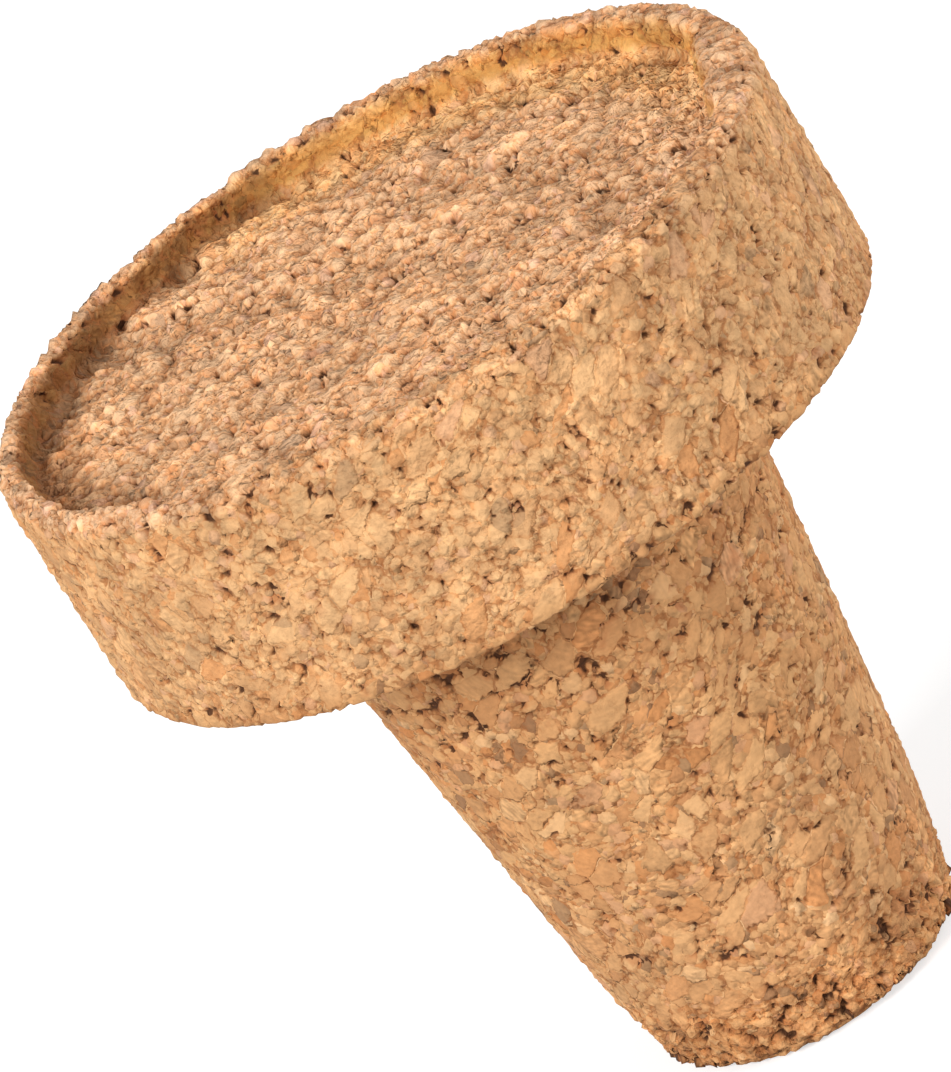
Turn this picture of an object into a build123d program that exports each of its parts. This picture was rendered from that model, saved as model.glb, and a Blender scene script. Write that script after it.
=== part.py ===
from build123d import *
import os

# Cork stopper for a bottle, ground from one blank of pressed cork granules: a wide flat head
# with a shallow dished top, and a tapered shank that wedges in the bottle's mouth.
# Millimetres. The axis is Z with the head up, and the origin is the centre of the shank's flat end.

# Head
head_diameter = 40.0
head_height = 11.8
head_top_edge_radius = 1.0
head_under_edge_radius = 0.2

# Recess in the head's top, inside a narrow rim, with a wall that leans out towards its mouth
rim_width = 1.55
recess_depth = 1.85
recess_wall_angle = 14.0
recess_lip_radius = 0.4
recess_corner_radius = 0.35

# Shank: an even taper from the head down to the lead-in, which curves in to the flat end
shank_length = 31.0
shank_root_diameter = 23.7
shank_root_radius = 0.4
lead_in_length = 7.5
lead_in_diameter = 18.3
shank_end_diameter = 15.4
shank_end_edge_radius = 1.2

# Heights and radii that follow from the sizes above
head_top_z = shank_length + head_height
recess_floor_z = head_top_z - recess_depth
head_radius = head_diameter / 2
recess_mouth_radius = head_radius - rim_width

# The rim keeps a little flat land between its two rounded edges, and the recess wall keeps a
# little straight run between the lip and the floor
rim_outer_radius = min(head_top_edge_radius, 0.65 * rim_width)
wall_share = 0.45 * recess_depth
recess_lip = min(recess_lip_radius, 0.3 * rim_width, wall_share)
recess_corner = min(recess_corner_radius, wall_share)

# Corners of the half section, as radius and height
shank_end_corner = (shank_end_diameter / 2, 0)
lead_in_corner = (lead_in_diameter / 2, lead_in_length)
shank_root_corner = (shank_root_diameter / 2, shank_length)
head_under_corner = (head_radius, shank_length)
head_top_corner = (head_radius, head_top_z)
recess_mouth_corner = (recess_mouth_radius, head_top_z)
floor_centre = (0, recess_floor_z)

with BuildPart() as stopper:
    with BuildSketch(Plane.XZ) as half_section:
        with BuildLine() as outline:
            Line((0, 0), shank_end_corner)
            taper = Line(lead_in_corner, shank_root_corner)
            TangentArc(lead_in_corner, shank_end_corner, tangent=(taper % 0) * -1)
            Line(shank_root_corner, head_under_corner)
            Line(head_under_corner, head_top_corner)
            Line(head_top_corner, recess_mouth_corner)
            recess_wall = PolarLine(
                recess_mouth_corner,
                recess_depth,
                -90 - recess_wall_angle,
                length_mode=LengthMode.VERTICAL,
            )
            Line(recess_wall @ 1, floor_centre)
            Line(floor_centre, (0, 0))
        make_face()

        rounded_corners = (
            (shank_end_corner, shank_end_edge_radius),
            (shank_root_corner, shank_root_radius),
            (head_under_corner, head_under_edge_radius),
            (head_top_corner, rim_outer_radius),
            (recess_mouth_corner, recess_lip),
            (recess_wall @ 1, recess_corner),
        )
        for corner, radius in rounded_corners:
            fillet(half_section.vertices().sort_by_distance(corner)[0], radius=radius)
    revolve(axis=Axis.Z)

stopper.part.label = "stopper"
os.makedirs("parts", exist_ok=True)
export_step(stopper.part, "parts/stopper.step")
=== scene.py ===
import math
import bpy
import numpy as np
from mathutils import Matrix, Vector


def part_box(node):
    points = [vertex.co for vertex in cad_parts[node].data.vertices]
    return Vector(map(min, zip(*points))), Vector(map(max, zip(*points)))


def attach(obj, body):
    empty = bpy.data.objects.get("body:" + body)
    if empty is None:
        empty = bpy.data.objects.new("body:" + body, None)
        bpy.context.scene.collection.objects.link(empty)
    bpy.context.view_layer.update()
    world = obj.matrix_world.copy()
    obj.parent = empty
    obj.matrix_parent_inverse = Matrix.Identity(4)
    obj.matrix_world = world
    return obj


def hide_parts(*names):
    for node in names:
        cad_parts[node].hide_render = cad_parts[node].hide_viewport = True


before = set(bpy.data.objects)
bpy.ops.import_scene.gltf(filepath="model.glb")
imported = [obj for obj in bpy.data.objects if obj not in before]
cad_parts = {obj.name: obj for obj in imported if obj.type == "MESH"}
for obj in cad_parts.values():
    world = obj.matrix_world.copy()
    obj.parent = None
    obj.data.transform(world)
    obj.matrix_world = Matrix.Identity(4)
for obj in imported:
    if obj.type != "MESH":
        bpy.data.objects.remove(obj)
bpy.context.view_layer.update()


# The stopper's body
# One piece: a wide flat head with a shallow dished top, and a tapered shank. It is pressed from
# cork granules and binder as one blank, and its faces are then ground, which opens pores and
# crevices between the granules. Sizes are in millimetres; the mesh is in metres.
MM = 0.001
low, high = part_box("stopper")
head_radius = (high[0] - low[0]) / 2 / MM
stopper_height = (high[2] - low[2]) / MM
head_height = 11.8
head_top_edge = 1.0
head_under_edge = 0.2
rim_width = 1.55
recess_depth = 1.85
recess_lip = 0.4
recess_corner = 0.35
recess_wall_lean = recess_depth * math.tan(math.radians(14))
shank_length = stopper_height - head_height
shank_root_radius = 11.85
shank_root_edge = 0.4
lead_in_length = 7.5
lead_in_radius = 9.15
shank_end_radius = 7.7
shank_end_edge = 1.2
mesh_step = 0.125
triangle_budget = 195000


def lead_in_points(count):
    """Points from the shank's end up to its even taper, in a curve that joins the taper smoothly."""
    taper = (shank_root_radius - lead_in_radius) / (shank_length - lead_in_length)
    bow = (lead_in_radius - taper * lead_in_length - shank_end_radius) / lead_in_length**2
    below = [lead_in_length * (1 - i / count) for i in range(count + 1)]
    return [(lead_in_radius - taper * d - bow * d * d, lead_in_length - d) for d in below]


def rounded(corners):
    """The outline through corners of (radius, height, rounding), with each rounding drawn as an arc."""
    outline = []
    arc_steps = 8
    for i, (x, z, rounding) in enumerate(corners):
        here = np.array((x, z))
        if not rounding:
            outline.append(here)
            continue
        to_last = np.array(corners[i - 1][:2]) - here
        to_next = np.array(corners[i + 1][:2]) - here
        to_last /= np.linalg.norm(to_last)
        to_next /= np.linalg.norm(to_next)
        half_angle = math.acos(np.clip(to_last @ to_next, -1, 1)) / 2
        centre_line = (to_last + to_next) / np.linalg.norm(to_last + to_next)
        centre = here + centre_line * rounding / math.sin(half_angle)
        first = here + to_last * rounding / math.tan(half_angle) - centre
        last = here + to_next * rounding / math.tan(half_angle) - centre
        turn = math.atan2(first[0] * last[1] - first[1] * last[0], first @ last)
        for k in range(arc_steps + 1):
            c, s = math.cos(turn * k / arc_steps), math.sin(turn * k / arc_steps)
            outline.append(centre + (c * first[0] - s * first[1], s * first[0] + c * first[1]))
    return np.array(outline)


def evenly(outline, step):
    """The same outline with its points a step apart."""
    along = np.concatenate(([0], np.cumsum(np.linalg.norm(np.diff(outline, axis=0), axis=1))))
    stations = np.linspace(0, along[-1], round(along[-1] / step) + 1)
    return np.column_stack([np.interp(stations, along, outline[:, i]) for i in (0, 1)])


def turned(outline, step):
    """A closed mesh turned from an outline that starts and ends on the axis. Its points are about a
    step apart, and a ring has half as many as the next wherever they would be too crowded."""
    widest_gap = step * 1.35
    tightest_gap = step / 1.5
    fewest_points = 8
    full = 2 ** math.ceil(math.log2(2 * math.pi * outline[:, 0].max() / widest_gap))
    points, rings, faces = [], [], []
    for radius, height in outline:
        if radius < step / 2:
            count = 1
        else:
            count = full
            while count > fewest_points and 2 * math.pi * radius / count < tightest_gap:
                count //= 2
        rings.append((len(points), count))
        for k in range(count):
            angle = 2 * math.pi * k / count
            points.append((radius * math.cos(angle), radius * math.sin(angle), height))
    for (a, n), (b, m) in zip(rings, rings[1:]):
        if n == 1:
            faces += [(a, b + (k + 1) % m, b + k) for k in range(m)]
        elif m == 1:
            faces += [(a + k, a + (k + 1) % n, b) for k in range(n)]
        elif n == m:
            faces += [(a + k, a + (k + 1) % n, b + (k + 1) % m, b + k) for k in range(n)]
        elif n > m:
            faces += [
                (a + 2 * k, a + 2 * k + 1, a + (2 * k + 2) % n, b + (k + 1) % m, b + k)
                for k in range(m)
            ]
        else:
            faces += [
                (a + k, a + (k + 1) % n, b + (2 * k + 2) % m, b + 2 * k + 1, b + 2 * k)
                for k in range(n)
            ]
    return points, faces


corners = [(0, 0, 0), (shank_end_radius, 0, shank_end_edge)]
corners += [(x, z, 0) for x, z in lead_in_points(count=12)[1:]]
corners += [
    (shank_root_radius, shank_length, shank_root_edge),
    (head_radius, shank_length, head_under_edge),
    (head_radius, stopper_height, head_top_edge),
    (head_radius - rim_width, stopper_height, recess_lip),
    (head_radius - rim_width - recess_wall_lean, stopper_height - recess_depth, recess_corner),
    (0, stopper_height - recess_depth, 0),
]
outline = evenly(rounded(corners), mesh_step)
points, faces = turned(outline, mesh_step)
blank_mesh = bpy.data.meshes.new("cork_blank")
blank_mesh.from_pydata([[v * MM for v in p] for p in points], [], faces)
blank = bpy.data.objects.new("cork_blank", blank_mesh)
bpy.context.collection.objects.link(blank)


class Field:
    """A number or a vector that a tree of nodes works out at each place."""

    def __init__(self, tree, socket):
        self.tree = tree
        self.socket = socket

    def isvector(self):
        return self.socket.type != "VALUE"

    def reckon(self, operation, *values):
        vector = any(isinstance(v, tuple) or isinstance(v, Field) and v.isvector() for v in values)
        kind = "ShaderNodeVectorMath" if vector else "ShaderNodeMath"
        made = put(self.tree, kind, dict(enumerate(values)), operation=operation)
        return Field(self.tree, made.outputs["Value" if operation in ("DOT_PRODUCT", "LENGTH") else 0])

    def __add__(self, other):
        return self.reckon("ADD", self, other)

    def __radd__(self, other):
        return self.reckon("ADD", other, self)

    def __sub__(self, other):
        return self.reckon("SUBTRACT", self, other)

    def __rsub__(self, other):
        return self.reckon("SUBTRACT", other, self)

    def __mul__(self, other):
        scalar = not (isinstance(other, tuple) or isinstance(other, Field) and other.isvector())
        if self.isvector() and scalar:
            made = put(self.tree, "ShaderNodeVectorMath", {0: self, "Scale": other}, operation="SCALE")
            return Field(self.tree, made.outputs[0])
        return self.reckon("MULTIPLY", self, other)

    def under(self, limit):
        return self.reckon("LESS_THAN", self, limit)

    def over(self, limit):
        return self.reckon("GREATER_THAN", self, limit)

    def least(self, other):
        return self.reckon("MINIMUM", self, other)

    def most(self, other):
        return self.reckon("MAXIMUM", self, other)

    def dot(self, other):
        return self.reckon("DOT_PRODUCT", self, other)

    def away(self, level):
        """How far the field is from a level, to either side."""
        return self.reckon("ABSOLUTE", self - level)

    def length(self):
        return self.reckon("LENGTH", self)

    def unit(self):
        return self.reckon("NORMALIZE", self)

    def part(self, index):
        return Field(self.tree, put(self.tree, "ShaderNodeSeparateXYZ", {0: self}).outputs[index])

    def ramp(self, start, end, low=0.0, high=1.0):
        """A smooth step from low to high as the field goes from start to end."""
        made = put(
            self.tree,
            "ShaderNodeMapRange",
            {"Value": self, "From Min": start, "From Max": end, "To Min": low, "To Max": high},
            interpolation_type="SMOOTHSTEP",
        )
        return Field(self.tree, made.outputs[0])

    def blend(self, other, share):
        """This field where share is 0, and the other where it is 1."""
        vector = self.isvector()
        made = put(
            self.tree,
            "ShaderNodeMix",
            {0: share, (4 if vector else 2): self, (5 if vector else 3): other},
            data_type="VECTOR" if vector else "FLOAT",
        )
        return Field(self.tree, made.outputs[1 if vector else 0])

    def turned(self, angles, back=False):
        made = put(
            self.tree,
            "ShaderNodeVectorRotate",
            {"Vector": self, "Rotation": angles},
            rotation_type="EULER_XYZ",
            invert=back,
        )
        return Field(self.tree, made.outputs[0])

    def noise(self, scale, detail=2.0, colour=False):
        made = put(self.tree, "ShaderNodeTexNoise", {"Vector": self, "Scale": scale, "Detail": detail})
        return Field(self.tree, made.outputs[1 if colour else 0])

    def cells(self, feature):
        """The random cells of a pattern, one unit across: a random colour for each, and its middle."""
        made = put(self.tree, "ShaderNodeTexVoronoi", {"Vector": self, "Scale": 1.0}, feature=feature)
        return Field(self.tree, made.outputs["Color"]), Field(self.tree, made.outputs["Position"])

    def dice(self):
        """Three new random numbers for each value."""
        return Field(self.tree, put(self.tree, "ShaderNodeTexWhiteNoise", {"Vector": self}).outputs["Color"])


def put(tree, kind, values, **settings):
    """Adds a node to a tree, with its settings, and with fields or plain values on its inputs."""
    made = tree.nodes.new(kind)
    for name, setting in settings.items():
        setattr(made, name, setting)
    for name, value in values.items():
        if isinstance(value, Field):
            tree.links.new(value.socket, made.inputs[name])
        else:
            made.inputs[name].default_value = value
    return made


def facing(outwards, x, y, start, end):
    """How much a place, given by its direction from the axis, lies on the side that x and y point to:
    from 0 where the cosine of the angle between them is start, to 1 where it is end."""
    return outwards.dot((x, y, 0.0)).ramp(start, end)


def stopper_zones(place):
    """How much each zone of the surface counts at a place in mm, from 0 to 1: the head, its rim and its
    recess, the shank and its end, and the places on them that are darker or paler than the rest,
    several of them through painted shade or painted light. Sides are named as the camera sees them,
    with x to the right and y away from it."""
    radius = (place * (1.0, 1.0, 0.0)).length()
    outwards = (place * (1.0, 1.0, 0.0)).unit()
    height = place.part(2)
    top = stopper_height
    recess_floor = top - recess_depth
    recess_radius = head_radius - rim_width
    zones = {}
    zones["head"] = height.ramp(shank_length + 0.3, shank_length + 1.2)
    zones["shank"] = 1.0 - zones["head"]
    # the top of the shank under the head's overhang, which the tints darken with painted shade, and which
    # has more pits
    zones["neck"] = height.ramp(19.0, 24.0) * height.ramp(33.5, 30.5)
    zones["low_shank"] = height.ramp(17.0, 11.0)
    zones["end"] = height.ramp(5.6, 2.6)

    in_recess = radius.ramp(recess_radius + 0.25, recess_radius - 0.1)
    in_recess = in_recess * height.ramp(recess_floor - 1.5, recess_floor - 0.5)
    above_floor = height.ramp(recess_floor + 0.2, recess_floor + 0.5)
    zones["floor"] = in_recess * height.ramp(recess_floor + 0.7, recess_floor + 0.25)
    zones["wall"] = in_recess * above_floor * height.ramp(top, top - 0.5)
    # the floor's edge at the left, which the tints darken with a painted shadow of the rim
    zones["left_foot"] = zones["floor"] * radius.ramp(15.0, 17.2) * facing(outwards, -0.97, -0.25, 0.7, 0.92)
    # the floor's edge at the far right, which the tints warm with painted bounce light from the wall
    zones["far_right"] = in_recess * radius.ramp(13.5, 16.5) * facing(outwards, 0.6, 0.8, 0.3, 0.8)

    inner_side = radius.ramp(17.0, 18.0) * radius.ramp(19.0, 18.8) * height.ramp(top - 0.2, top - 0.5)
    inner_side = inner_side * height.ramp(top - 3.0, top - 2.5)
    # the far-left inner wall, which the tints darken with a painted shadow
    zones["far_left"] = inner_side * facing(outwards, -0.9, 0.43, 0.3, 0.65)
    zones["rim"] = height.ramp(top - 0.9, top - 0.25)
    zones["near_rim"] = zones["rim"] * facing(outwards, 0.17, -0.98, 0.5, 0.9)
    # the floor's edge at the near right, lifted with painted light where the fill lamp's shadow of the rim
    # falls
    painted_light_near_right = facing(outwards, 0.64, -0.77, 0.8, 0.96) * radius.ramp(13.0, 15.5) * radius.ramp(19.0, 18.2)
    zones["painted_light_near_right"] = painted_light_near_right * height.ramp(top - 2.6, top - 2.2)
    return zones


zone_tints = {
    # how much red, green and blue each zone's colour is scaled by, next to the head's side; some are painted
    # shade or painted light, as marked
    "shank": (0.92, 0.86, 0.79),
    "low_shank": (1.03, 1.04, 1.07),
    "end": (0.99, 0.95, 0.91),
    # painted shade under the head's overhang
    "neck": (0.95, 0.93, 0.92),
    "floor": (1.17, 1.24, 1.48),
    # painted shade and warm bounce light on the recess wall: darker and more golden
    "wall": (0.89, 0.82, 0.62),
    # painted warm bounce light from the golden wall on the floor's edge at the far right
    "far_right": (1.04, 1.0, 0.8),
    # painted shadow on the far-left inner wall, which faces away from the key lamp
    "far_left": (0.42, 0.36, 0.3),
    # painted shadow that the rim throws on the floor's edge at the left
    "left_foot": (0.84, 0.76, 0.68),
    # the rim's own paler, dusty face, and a painted sheen that makes its far side paler still
    "rim": (1.15, 1.22, 1.5),
    # painted light that lifts the floor's edge at the near right out of the fill lamp's rim shadow
    "painted_light_near_right": (1.24, 1.27, 1.34),
    # the near side of the rim, with less of the rim's painted sheen
    "near_rim": (0.92, 0.88, 0.77),
}
# How roughly the shank's face is broken open, how lumpy it is, and what the zones add to both and to
# the share of pits
shank_crumbled = 0.2
crumbled_by_zone = {"head": 0.3, "rim": 0.5, "end": 0.6, "floor": 0.5}
shank_lumpy = 0.1
lumpy_by_zone = {"head": 0.15, "floor": 0.4, "rim": 0.1, "end": 0.25}
pitted_by_zone = {"end": 0.065, "neck": 0.05, "rim": 0.04, "floor": 0.03}


def with_zones(base, zones, added):
    """A base value, and what each zone adds to it."""
    for zone, more in added.items():
        base = base + zones[zone] * more
    return base


granule_layers = (
    # size across in mm, stretch along three axes, turn, share of cells on a crumbled and on a ground face
    (0.34, (1.0, 1.0, 1.0), (0.0, 0.0, 0.0), 1.0, 1.0),
    (0.6, (1.0, 1.7, 1.0), (0.4, 0.9, 0.2), 0.4, 0.75),
    (1.05, (1.7, 1.0, 1.0), (1.1, 0.3, 0.7), 0.12, 0.5),
)
largest_round_granule = 1.0
round_granule_reach = 0.72
edge_inset = 0.03
half = (0.5, 0.5, 0.5)


def cork_grain(bent, fray, rough):
    """The pressed granules at a bent place in mm: large chips lie over smaller ones and over crumbs.
    Gives three random numbers for the granule there, the distance to its edge in mm, how its face
    leans, and how high it stands in mm."""
    ragged = bent + (fray - half) * (0.3 - rough * 0.14)
    chip = None
    for size, stretch, turn, crumbled_share, ground_share in granule_layers:
        across = ragged.turned(turn) * tuple(1 / (size * s) for s in stretch)
        here, middle = across.cells("F1")
        off_middle = across - middle
        if size < largest_round_granule:
            to_edge = (round_granule_reach - off_middle.length()) * size
            slope = off_middle.turned(turn, back=True) * 0.85
            rise = to_edge * 0.5
        else:
            beyond = across.cells("F2")[1]
            to_next = (beyond - middle).unit()
            to_edge = ((beyond + middle) * 0.5 - across).dot(to_next) * size
            broken_edge = to_edge.ramp(0.15, 0.03, 0.0, 0.8)
            slope = (to_next * tuple(1 / s for s in stretch)).turned(turn, back=True) * broken_edge
            rise = off_middle.dot(here - half) * size * 0.2 + to_edge.ramp(0.0, 0.2, 0.0, 0.06)
        slope = slope + (here - half) * 0.4
        if chip is None:
            chip, edge, lean, stands = here, to_edge, slope, rise
            continue
        share = ground_share + rough * (crumbled_share - ground_share)
        shows = here.part(0).under(share) * to_edge.over(edge_inset)
        chip = chip.blend(here, shows)
        edge = edge.blend(to_edge - edge_inset, shows)
        lean = lean.blend(slope, shows)
        stands = stands.blend(rise, shows)
    return chip.dice(), edge, lean, stands


open_places = (
    # where the photo shows pits close together and dark chips: x, y, z and reach, in mm
    (-6.7, -8.5, 22.2, 0.8),
    (1.2, -11.3, 26.9, 0.9),
    (2.2, -11.0, 25.7, 0.7),
    (-4.4, -10.3, 25.6, 0.8),
    (-7.3, -8.7, 26.6, 0.7),
    (6.4, -8.5, 20.4, 0.6),
    (-3.6, -8.9, 11.3, 0.7),
    (6.5, -6.3, 6.9, 0.6),
    (4.9, -6.8, 2.8, 1.1),
    (-6.8, -6.2, 8.0, 0.6),
    (-2.9, -8.7, 7.2, 0.7),
    (-2.6, -8.2, 4.1, 0.6),
    (0.2, -8.2, 1.8, 0.7),
    (-6.0, -6.2, 4.1, 0.7),
    (-5.5, -10.5, 30.7, 0.8),
    (11.6, -16.3, 33.3, 0.7),
    (-0.9, -20.0, 36.3, 0.7),
    (-7.8, -18.4, 40.9, 0.7),
    (-11.9, -16.1, 37.1, 0.8),
    (8.0, -14.1, 41.0, 0.9),
    (-14.7, -5.7, 41.0, 0.9),
    (15.9, 6.8, 41.0, 0.7),
)


def openness(place):
    """How close a place is to the open places: 0 away from them, and 1 or more in the middle of one."""
    opened = 0.0
    for x, y, z, reach in open_places:
        opened = opened + (place - (x, y, z)).length().ramp(reach * 1.7, reach * 0.5)
    return opened


def rim_spread(place):
    """How far the rim's uneven inner edge has moved in from its even line, as a vector in mm."""
    radius = (place * (1.0, 1.0, 0.0)).length()
    outwards = (place * (1.0, 1.0, 0.0)).unit()
    recess_floor = stopper_height - recess_depth
    inner_edge = radius.ramp(16.2, 17.8) * radius.ramp(19.5, 18.9)
    inner_edge = inner_edge * place.part(2).ramp(recess_floor - 0.6, recess_floor - 0.3)
    wander = (place.noise(0.5, 2.0) - 0.45) * 1.1
    wide_at_right = facing(outwards, 0.99, -0.14, 0.96, 0.99) * 0.75
    narrow_at_far_left = facing(outwards, -0.9, 0.43, 0.3, 0.7) * 0.55
    inwards = outwards * -1.0
    return inwards * ((wander + (wide_at_right - narrow_at_far_left)) * inner_edge)


def keep(tree, geometry, name, field):
    """Keeps a vector with each point of the mesh, under a name that the finish can read."""
    kind = {"data_type": "FLOAT_VECTOR", "domain": "POINT"}
    made = put(tree, "GeometryNodeStoreNamedAttribute", {"Name": name, "Value": field}, **kind)
    tree.links.new(geometry, made.inputs["Geometry"])
    return made.outputs["Geometry"]


def relief_tree():
    """The nodes that raise and sink the ground faces of the blank by its granules and crevices."""
    tree = bpy.data.node_groups.new("cork_relief", "GeometryNodeTree")
    tree.interface.new_socket("Geometry", in_out="INPUT", socket_type="NodeSocketGeometry")
    sizes = ("Chip relief", "Crevice depth", "Lump height")
    for name in sizes:
        tree.interface.new_socket(name, in_out="INPUT", socket_type="NodeSocketFloat")
    tree.interface.new_socket("Material", in_out="INPUT", socket_type="NodeSocketMaterial")
    tree.interface.new_socket("Geometry", in_out="OUTPUT", socket_type="NodeSocketGeometry")
    start = tree.nodes.new("NodeGroupInput")
    chip_relief, crevice_depth, lump_height = (Field(tree, start.outputs[name]) for name in sizes)

    # The granules, bent as they were pressed, and the pores between them
    place = Field(tree, put(tree, "GeometryNodeInputPosition", {}).outputs[0]) * (1 / MM)
    normal = Field(tree, put(tree, "GeometryNodeInputNormal", {}).outputs[0])
    zones = stopper_zones(place)
    rough = with_zones(shank_crumbled, zones, crumbled_by_zone)
    spread = rim_spread(place)
    grown = place + spread
    bent = grown + (grown.noise(0.22, 1.0, colour=True) - half) * 1.5
    bent = bent + (grown.noise(0.8, 1.0, colour=True) - half) * 0.35
    opened = openness(place)
    pore = with_zones(place.noise(1.5, 2.0), zones, pitted_by_zone) + opened * 0.09
    pore = pore.ramp(0.56, 0.74, 0.0, 0.13)
    chip, edge, _, stands = cork_grain(bent, bent.noise(4.0, 1.0, colour=True), rough)

    # The relief, which only sinks in where it is on the flat end
    broad = place.noise(0.35, 1.0)
    mottle = place.noise(1.1, 2.0)
    uneven = (chip.part(0) - 0.6) * (0.06 + rough * 0.12)
    raised = (stands + uneven) * chip_relief * (0.5 + rough * 0.5 - zones["floor"] * 0.3)
    crevice = (edge - pore).ramp(0.12, 0.0) * pore.ramp(0.0, 0.1)
    lumpy = with_zones(shank_lumpy, zones, lumpy_by_zone)
    lumps = (mottle - 0.5) * lump_height * lumpy + (broad - 0.5) * zones["floor"]
    depth = raised + lumps - crevice * crevice_depth * (0.5 + rough * 0.5)
    depth = depth.blend(depth.least(0.0), place.part(2).ramp(0.3, 0.02))
    offset = (normal * depth + spread) * MM

    # What the finish reads
    # hollow marks the lumps' hollows, where the finish paints shade; blotches vary the tone at random in
    # broad patches, and with the lumps: darker in their hollows and paler on their tops, a painted shade
    hollow = mottle.ramp(0.55, 0.38)
    blotches = (broad - 0.5) * (0.3 + rough * 0.7) + (mottle - 0.5) * (0.2 + rough * 0.9)
    tint = (0.94 + blotches) * (1.0, 1.0, 1.0)
    for zone, share in zone_tints.items():
        tint = tint.blend(tint * share, zones[zone])
    state = Field(tree, put(tree, "ShaderNodeCombineXYZ", {0: rough, 1: zones["head"], 2: pore}).outputs[0])
    opening = Field(tree, put(tree, "ShaderNodeCombineXYZ", {0: hollow, 1: opened}).outputs[0])
    kept = {
        "rest_mm": grown,
        "bent_mm": bent,
        "cork_state": state,
        "cork_opening": opening,
        "cork_tint": tint,
    }
    geometry = start.outputs["Geometry"]
    for name, field in kept.items():
        geometry = keep(tree, geometry, name, field)

    moved = put(tree, "GeometryNodeSetPosition", {"Offset": offset})
    tree.links.new(geometry, moved.inputs["Geometry"])
    real = put(tree, "GeometryNodeRealizeInstances", {})
    tree.links.new(moved.outputs["Geometry"], real.inputs["Geometry"])
    dressed = put(tree, "GeometryNodeSetMaterial", {"Material": Field(tree, start.outputs["Material"])})
    tree.links.new(real.outputs["Geometry"], dressed.inputs["Geometry"])
    end = tree.nodes.new("NodeGroupOutput")
    tree.links.new(dressed.outputs["Geometry"], end.inputs["Geometry"])
    return tree


def linear(red, green, blue):
    """A colour as the eye reads it, 0 to 255, as the light that a shader works with."""
    return tuple(((v / 255 + 0.055) / 1.055) ** 2.4 for v in (red, green, blue))


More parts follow.
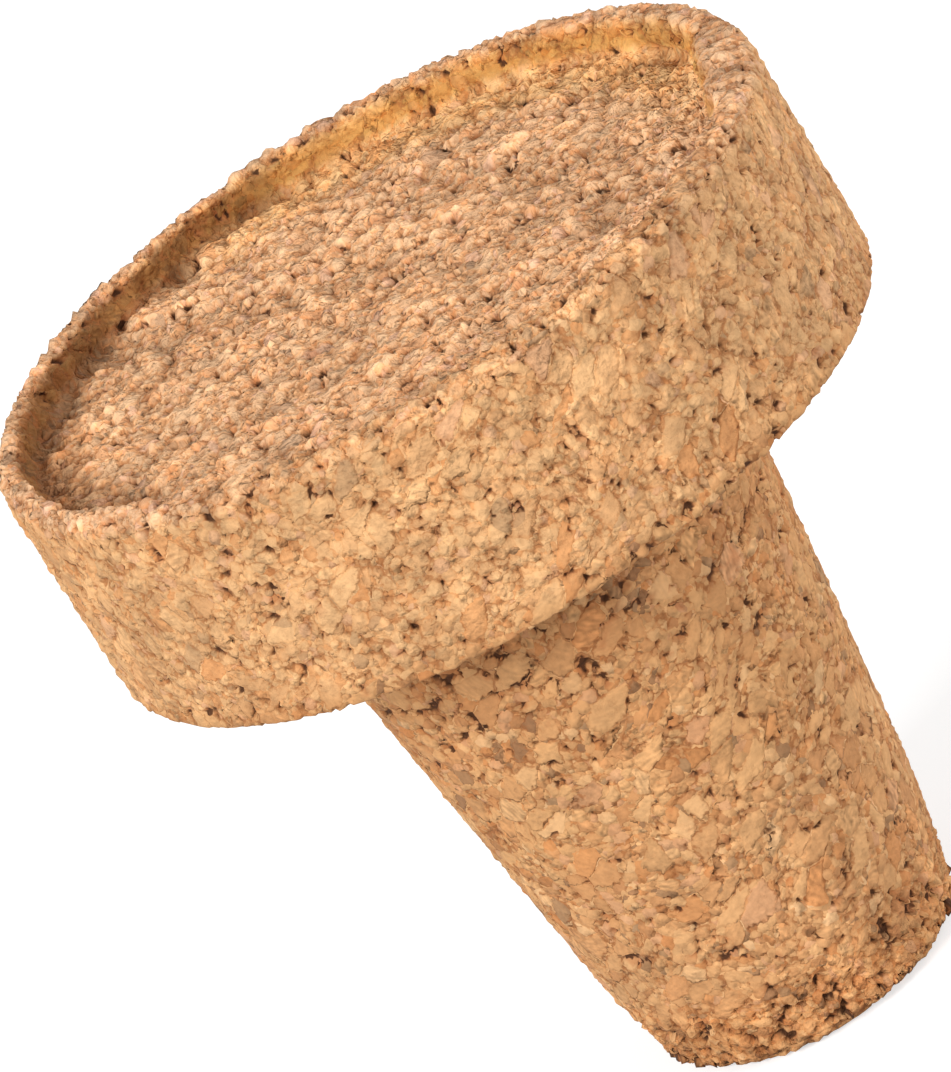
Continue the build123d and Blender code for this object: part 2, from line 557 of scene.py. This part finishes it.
def cork_material():
    """The finish of the cork. It works out the granules of the relief again, from what the mesh keeps,
    so that each granule's colour, edge and fibres lie on its own relief."""
    palette_stops = (
        (0.00, linear(181, 126, 83)),
        (0.07, linear(197, 142, 96)),
        (0.25, linear(210, 157, 107)),
        (0.50, linear(218, 168, 117)),
        (0.80, linear(225, 177, 125)),
        (1.00, linear(237, 198, 152)),
    )
    dark_chip = linear(132, 102, 78)
    orange_chip = linear(210, 142, 86)
    pinkish_chip = linear(217, 165, 124)
    crack_brown = linear(150, 92, 50)
    gap_brown = linear(158, 98, 54)
    pore_brown = linear(176, 108, 64)
    pit_brown = linear(60, 34, 19)

    cork = bpy.data.materials.new("cork")
    cork.use_nodes = True
    tree = cork.node_tree
    shader = tree.nodes["Principled BSDF"]
    place, bent, state, opening, tint = (
        Field(tree, put(tree, "ShaderNodeAttribute", {}, attribute_name=name).outputs["Vector"])
        for name in ("rest_mm", "bent_mm", "cork_state", "cork_opening", "cork_tint")
    )
    rough, head, pore = (state.part(i) for i in range(3))
    hollow, opened = opening.part(0), opening.part(1)
    fray = bent.noise(4.0, 1.0, colour=True)
    chip, edge, lean, _ = cork_grain(bent, fray, rough)
    tone, sort, grain_strength = (chip.part(i) for i in range(3))

    # Each granule has its own tone from the palette, and a few are dark, orange or pinkish
    calm = 0.8 - head * 0.3
    palette = put(tree, "ShaderNodeValToRGB", {"Fac": (tone - 0.55) * calm + 0.55})
    ramp = palette.color_ramp
    while len(ramp.elements) < len(palette_stops):
        ramp.elements.new(0.5)
    for element, (at, shade) in zip(ramp.elements, palette_stops):
        element.position = at
        element.color = (*shade, 1.0)
    colour = Field(tree, palette.outputs["Color"])
    colour = colour.blend(dark_chip, sort.under(0.03 + opened * 0.3) * calm * 0.75)
    colour = colour.blend(pinkish_chip, sort.over(0.93) * 0.7)
    colour = colour.blend(orange_chip, sort.over(0.82) * sort.under(0.93) * 0.6)

    # Fibres run through each granule in its own direction, and a crumbled granule's edges get a painted warm
    # shade
    whole_turn = 6.28
    fibre_scale = (6.5, 2.4, 2.4)
    striped = grain_strength.ramp(0.55, 1.0, 0.25, 0.95)
    fibre = (place.turned(chip * whole_turn) * fibre_scale).noise(1.0, 0.0, colour=True)
    colour = colour * (1.0 + (fibre.part(0) - 0.5) * striped)
    # painted warm shade at the edges of crumbled granules: browner, as shade in cork is
    colour = colour.blend(colour * (0.98, 0.84, 0.7), edge.ramp(0.14, 0.0) * rough)
    # The tint brings each zone's colour, including the painted shade and painted light that some zones hold
    colour = colour * (0.94 + fray.part(2) * 0.12) * tint

    # Cracks are darker; cavities and the lumps' hollows get painted shade; the gaps between granules and the
    # open pits are dark, partly their own colour and partly painted shade in their depth
    crumb = place.noise(2.6, 2.0)
    cavity_shade = crumb.ramp(0.5, 0.3) * rough * (0.5 + hollow * 0.5)
    crack = fray.part(1).away(0.5).ramp(0.035, 0.0) * hollow * (0.3 + rough * 0.7)
    gap_width = pore - 0.08 + hollow * 0.13
    gap = (edge - gap_width + (fray.part(0) - 0.5) * 0.3).ramp(0.07, -0.03)
    # painted shade in the cavities of the crumbled face, deepest in the lumps' hollows
    colour = colour.blend(colour * (0.62, 0.5, 0.41), cavity_shade * 0.85)
    colour = colour.blend(crack_brown, crack * 0.7)
    # the gaps are dark brown, partly their own colour and partly painted shade in the crevices
    colour = colour.blend(gap_brown, gap * (0.8 - rough * 0.4))
    colour = colour.blend(pore_brown, pore.ramp(0.01, 0.1) * sort.over(0.5) * 0.5)
    # the open pits are nearly black, partly their own colour and partly painted shade in their depth
    colour = colour.blend(pit_brown, gap * pore.ramp(0.03, 0.1) * 0.9)
    tree.links.new(colour.socket, shader.inputs["Base Color"])
    shader.inputs["Roughness"].default_value = 0.88
    shader.inputs["Specular IOR Level"].default_value = 0.25

    # Crumbs, leaning granules, fibres and frayed edges tilt the face
    bump = put(tree, "ShaderNodeBump", {"Height": crumb * rough, "Distance": 0.45 * MM})
    lean = lean * (1.12 - rough * 0.34)
    lean = lean + (fibre - half) * (striped * (1.0 - rough * 0.7))
    lean = lean + (fray - half) * (0.85 - rough * 0.45)
    tree.links.new((Field(tree, bump.outputs["Normal"]) + lean).unit().socket, shader.inputs["Normal"])
    return cork


relief = blank.modifiers.new("relief", "NODES")
relief.node_group = relief_tree()
sockets = relief.node_group.interface.items_tree
inputs = {item.name: item.identifier for item in sockets if item.in_out == "INPUT"}
relief[inputs["Chip relief"]] = 1.0
relief[inputs["Crevice depth"]] = 0.3
relief[inputs["Lump height"]] = 1.3
relief[inputs["Material"]] = cork_material()
thinned = blank.modifiers.new("thinned", "DECIMATE")
blank_triangles = sum(len(face) - 2 for face in faces)
thinned.ratio = min(1.0, triangle_budget / blank_triangles)

ready = blank.evaluated_get(bpy.context.evaluated_depsgraph_get())
body_mesh = bpy.data.meshes.new_from_object(ready)
body_mesh.name = "cork_body"
body_mesh.shade_smooth()
cork_body = bpy.data.objects.new("cork_body", body_mesh)
bpy.context.collection.objects.link(cork_body)
bpy.data.objects.remove(blank)

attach(cork_body, "root")
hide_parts("stopper")


# The floor
# A plain sheet of white paper that the stopper stands on. It glows only where the camera sees it, so
# that it shows as white as a lit sheet, and throws no more light on the cork than grey paper would.
reach = 3
floor_corners = [(-reach, -reach, 0), (reach, -reach, 0), (reach, reach, 0), (-reach, reach, 0)]
floor_mesh = bpy.data.meshes.new("floor")
floor_mesh.from_pydata(floor_corners, [], [(0, 1, 2, 3)])
floor = bpy.data.objects.new("floor", floor_mesh)
bpy.context.collection.objects.link(floor)
paper = bpy.data.materials.new("paper")
paper.use_nodes = True
shader = paper.node_tree.nodes["Principled BSDF"]
shader.inputs["Base Color"].default_value = (0.55, 0.55, 0.55, 1)
shader.inputs["Roughness"].default_value = 1
shader.inputs["Specular IOR Level"].default_value = 0
shader.inputs["Emission Color"].default_value = (1, 1, 1, 1)
rays = put(paper.node_tree, "ShaderNodeLightPath", {})
camera_ray, glossy_ray, through_ray = (
    Field(paper.node_tree, rays.outputs[name])
    for name in ("Is Camera Ray", "Is Glossy Ray", "Is Transmission Ray")
)
glow = camera_ray.most(glossy_ray).most(through_ray) * 0.6
paper.node_tree.links.new(glow.socket, shader.inputs["Emission Strength"])
floor_mesh.materials.append(paper)


# The light
# White surroundings and three soft square lamps: a strong one at the left front, a weaker one at the
# right front, and one behind on the right that lights the edges.
world = bpy.data.worlds.new("studio")
bpy.context.scene.world = world
world.use_nodes = True
world.node_tree.nodes["Background"].inputs["Color"].default_value = (1, 1, 1, 1)
world.node_tree.nodes["Background"].inputs["Strength"].default_value = 0.45
lamp_distance = 0.8


def lamp(name, direction, across, brightness):
    """A square lamp that aims at the stopper. Its brightness is what it adds to white paper facing it."""
    data = bpy.data.lights.new(name, "AREA")
    data.size = across
    data.energy = brightness * math.pi**2 * lamp_distance**2
    made = bpy.data.objects.new(name, data)
    towards = Vector(direction).normalized()
    aim = towards.to_track_quat("Z", "Y").to_matrix().to_4x4()
    made.matrix_world = Matrix.Translation(towards * lamp_distance) @ aim
    bpy.context.collection.objects.link(made)


lamp("key", (-0.64, -0.52, 0.53), 0.3, 0.85)
lamp("fill", (0.7, -0.64, 0.33), 0.3, 0.42)
lamp("edge", (0.85, 0.4, 0.34), 0.4, 0.3)


# The camera
# A long lens that looks down on the head, rolled so that the shank points to the lower right.
# Angles are in radians, and the head's top is placed to the right, down and ahead, in millimetres.
look_down = 0.3863
roll = -0.5608
focal_pixels = 8000
photo_height = 1072
film_width = 36
head_top_seen_from_camera = Vector((-4.999, -12.935, 366.828)) * MM

forward = Vector((0, math.cos(look_down), -math.sin(look_down)))
level_right = Vector((1, 0, 0))
level_down = forward.cross(level_right)
image_right = level_right * math.cos(roll) - level_down * math.sin(roll)
image_down = level_right * math.sin(roll) + level_down * math.cos(roll)
camera_data = bpy.data.cameras.new("camera")
camera_data.sensor_width = film_width
camera_data.lens = film_width * focal_pixels / photo_height
camera_data.clip_start = 0.01
camera_data.clip_end = 20
camera = bpy.data.objects.new("camera", camera_data)
bpy.context.collection.objects.link(camera)
head_top = Vector((0, 0, stopper_height * MM))
offset = head_top_seen_from_camera
place = head_top - image_right * offset.x - image_down * offset.y - forward * offset.z
turn = Matrix((image_right, -image_down, -forward)).transposed()
camera.matrix_world = Matrix.Translation(place) @ turn.to_4x4()
bpy.context.scene.camera = camera
bpy.context.scene.view_settings.view_transform = "Standard"
